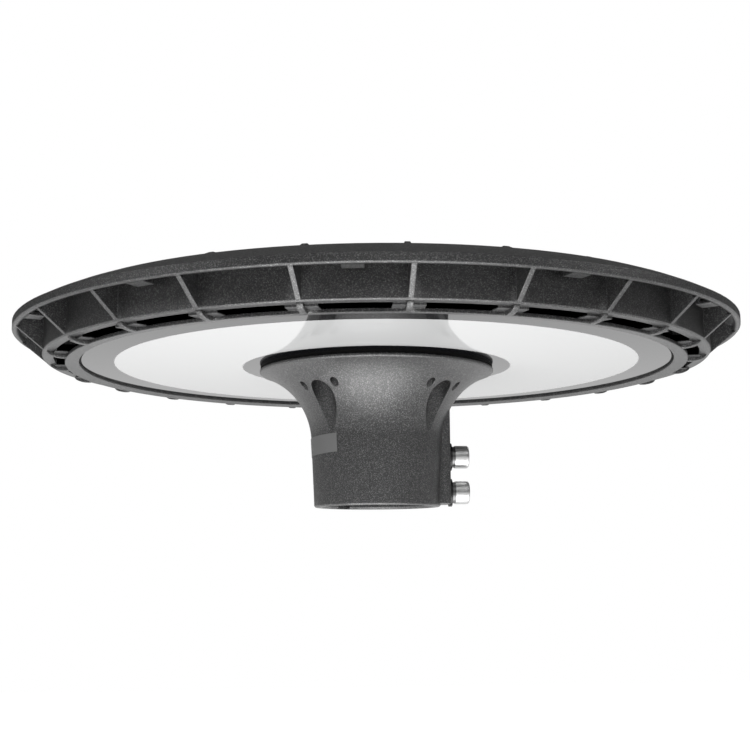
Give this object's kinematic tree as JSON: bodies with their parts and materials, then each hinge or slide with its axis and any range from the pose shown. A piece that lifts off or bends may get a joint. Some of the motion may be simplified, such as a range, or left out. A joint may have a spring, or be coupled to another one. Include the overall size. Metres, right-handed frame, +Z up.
{
  "type": "led park light",
  "caption": "Flat disc-shaped post-top LED luminaire with a glazed underside, finned cast housing, vented ribbed rim and flared clamp-on spigot for a round post.",
  "frame": {"origin": "centre of the spigot mouth, the lowest plane of the light, where the post enters", "axes": "+Z up along the post axis; +X towards the clamp screws"},
  "size_m": [0.4104, 0.4104, 0.1293],
  "materials": {
    "casting": "fine-textured anthracite powder coat",
    "glass": "toughened glass with a frosted white field and black printed borders",
    "seal": "matt silicone",
    "stainless": "bright stainless steel",
    "board": "white solder mask",
    "chip": "yellow phosphor",
    "driver_case": "light grey",
    "terminal": "off-white",
    "lead": "black insulation",
    "brass": "plain brass",
    "gland": "black nylon"
  },
  "bodies": {
    "root": {"housing": "casting", "diffuser": "glass", "outer_gasket": "seal", "inner_gasket": "seal", "spigot_gasket": "seal", "spigot": "casting", "spigot_screws": "stainless", "clamp_screws": "stainless", "clamp_spring_washers": "stainless", "clamp_flat_washers": "stainless", "led_board": "board", "led_chips": "chip", "led_board_screws": "stainless", "driver": "driver_case", "driver_screws": "stainless", "terminal_block": "terminal", "terminal_block_screws": "stainless", "supply_leads": "lead", "dc_leads": "lead", "lead_grommet": "seal", "earth_screw": "brass", "gland_body": "gland", "gland_seal": "seal", "gland_cap_nut": "gland", "gland_locknut": "gland", "driver_cover": "casting", "cover_gasket": "seal", "cover_screws": "stainless"}
  },
  "joints": []
}
